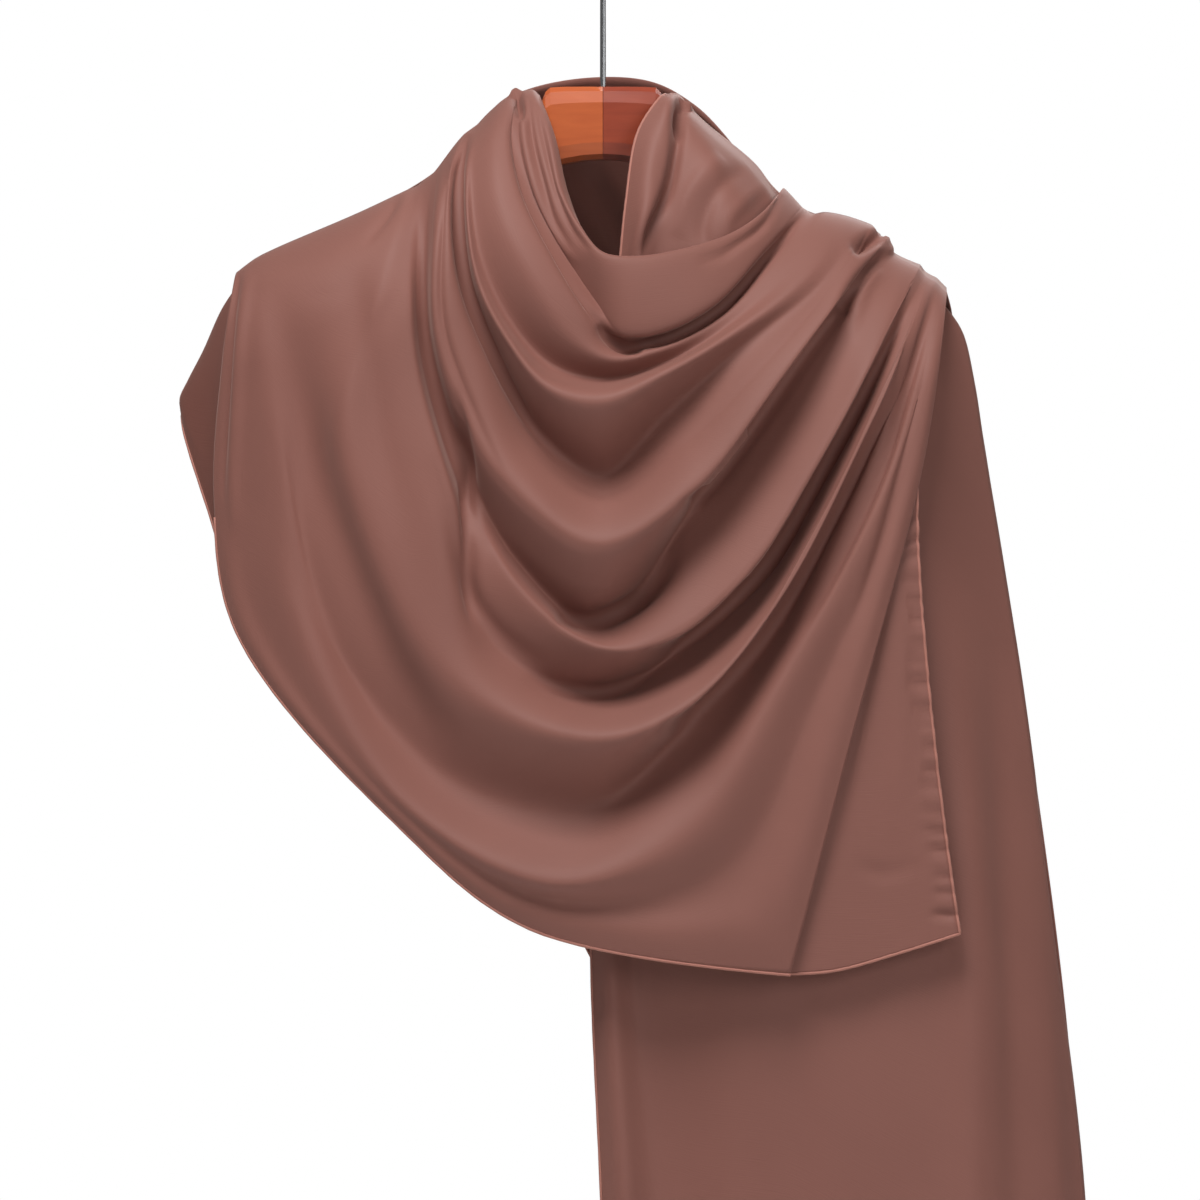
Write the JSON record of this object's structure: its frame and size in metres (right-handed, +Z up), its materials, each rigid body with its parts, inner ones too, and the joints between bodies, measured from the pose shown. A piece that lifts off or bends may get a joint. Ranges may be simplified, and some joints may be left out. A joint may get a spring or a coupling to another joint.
{
  "type": "stole on a hanger",
  "caption": "Plain mauve-brown satin stole draped shawl-wise over a wooden coat hanger, cowl folds across the chest and a long tail down one side.",
  "frame": {"origin": "inside top of the hanger's hook, where it hangs on a rail", "axes": "+Z up along the hook's stem, -Y towards the viewer of the draped front, +X to that viewer's right"},
  "size_m": [0.559, 0.2055, 1.0055],
  "materials": {
    "satin": "satin weave, soft sheen",
    "wood_light": "varnished",
    "wood_dark": "varnished",
    "steel": "polished"
  },
  "bodies": {
    "root": {"stole_front_swag": "satin", "stole_tail": "satin", "stole_back": "satin", "stole_end_corner": "satin", "stole_end_behind": "satin", "hanger_left_half": "wood_light", "hanger_right_half": "wood_dark", "hanger_hook": "steel"}
  },
  "joints": []
}
